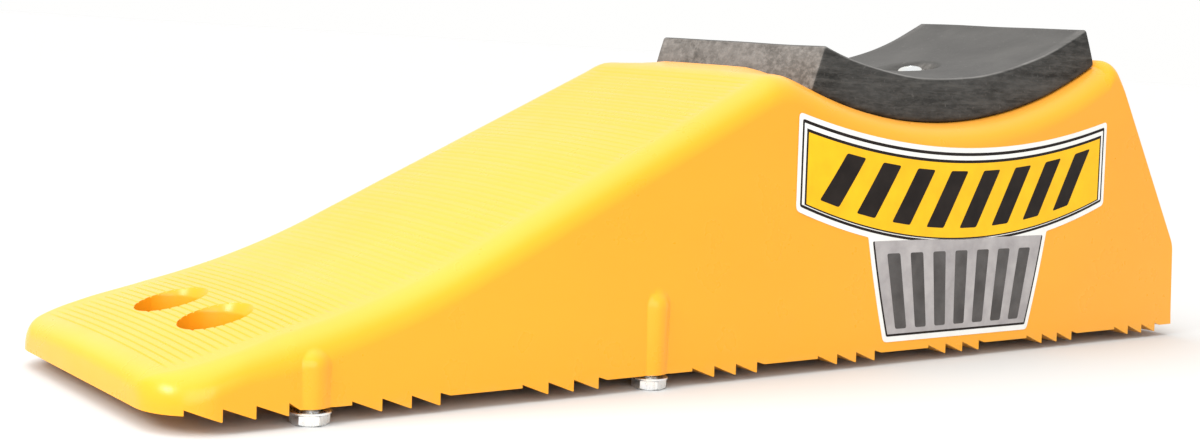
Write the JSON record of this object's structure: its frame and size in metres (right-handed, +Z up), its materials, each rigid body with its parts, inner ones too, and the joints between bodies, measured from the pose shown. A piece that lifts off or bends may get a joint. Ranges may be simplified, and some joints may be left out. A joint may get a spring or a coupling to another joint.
{
  "type": "wheel chock",
  "caption": "Moulded ramp chock with a rubber-padded wheel cradle, saw-toothed bottom edges, hex-headed grip bolts and finger holes in its toe.",
  "frame": {"origin": "on the ground, under the middle of the bounding box", "axes": "+X from the low toe to the high back end, +Y across to the left side seen from the toe looking up the ramp, +Z up"},
  "size_m": [0.5968, 0.1558, 0.166],
  "materials": {
    "body_plastic": "golden yellow moulded plastic, satin with a soft gloss",
    "pad_rubber": "dark grey rubber, matt, lightly scuffed",
    "zinc_steel": "bright zinc plating",
    "insert_brass": "plain brass",
    "decal_film": "printed vinyl film, semi-gloss"
  },
  "bodies": {
    "root": {"ramp_body": "body_plastic", "cradle_pad": "pad_rubber", "pad_screw_front": "zinc_steel", "pad_screw_washer_front": "zinc_steel", "pad_nut_washer_front": "zinc_steel", "pad_nut_front": "zinc_steel", "pad_screw_rear": "zinc_steel", "pad_screw_washer_rear": "zinc_steel", "pad_nut_washer_rear": "zinc_steel", "pad_nut_rear": "zinc_steel", "grip_bolt_front_right": "zinc_steel", "grip_washer_front_right": "zinc_steel", "threaded_insert_front_right": "insert_brass", "grip_bolt_front_left": "zinc_steel", "grip_washer_front_left": "zinc_steel", "threaded_insert_front_left": "insert_brass", "grip_bolt_rear_right": "zinc_steel", "grip_washer_rear_right": "zinc_steel", "threaded_insert_rear_right": "insert_brass", "grip_bolt_rear_left": "zinc_steel", "grip_washer_rear_left": "zinc_steel", "threaded_insert_rear_left": "insert_brass", "side_decal_right": "decal_film", "side_decal_left": "decal_film"}
  },
  "joints": []
}
